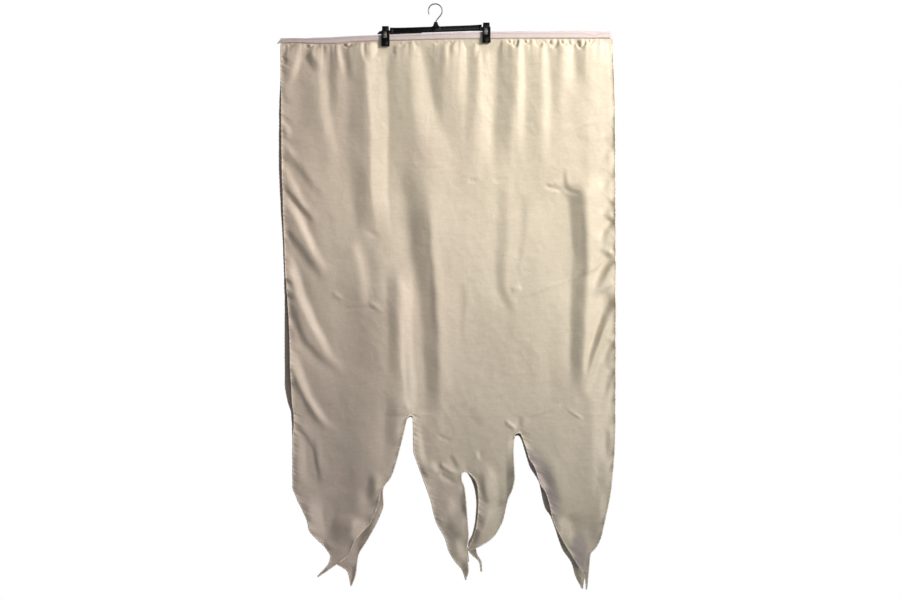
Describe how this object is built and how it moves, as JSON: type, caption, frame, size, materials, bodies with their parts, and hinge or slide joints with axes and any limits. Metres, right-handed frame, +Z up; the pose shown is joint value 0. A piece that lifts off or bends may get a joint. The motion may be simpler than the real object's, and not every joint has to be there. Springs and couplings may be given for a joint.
{
  "type": "worship flag on a clip hanger",
  "caption": "Satin worship flag with pointed tongues, its layers gathered on ribbon bands and held by the clips of a small hook hanger.",
  "frame": {"origin": "the seat inside the crown of the hanger's hook, where a nail or rail carries it", "axes": "+Z up, +X to the right seen from the front, -Y out of the front face"},
  "size_m": [1.017, 0.0564, 1.7616],
  "materials": {
    "satin": "satin",
    "ribbon": "matte ribbed",
    "hanger_plastic": "semi-gloss",
    "hook_wire": "dull plated",
    "spring_steel": "bright"
  },
  "bodies": {
    "root": {"front_cloth": "satin", "back_cloth": "satin", "front_band": "ribbon", "back_band": "ribbon", "hook": "hook_wire", "hanger_bar": "hanger_plastic", "clip_left_front_jaw": "hanger_plastic", "clip_left_back_jaw": "hanger_plastic", "clip_left_spring": "spring_steel", "clip_right_front_jaw": "hanger_plastic", "clip_right_back_jaw": "hanger_plastic", "clip_right_spring": "spring_steel"}
  },
  "joints": []
}
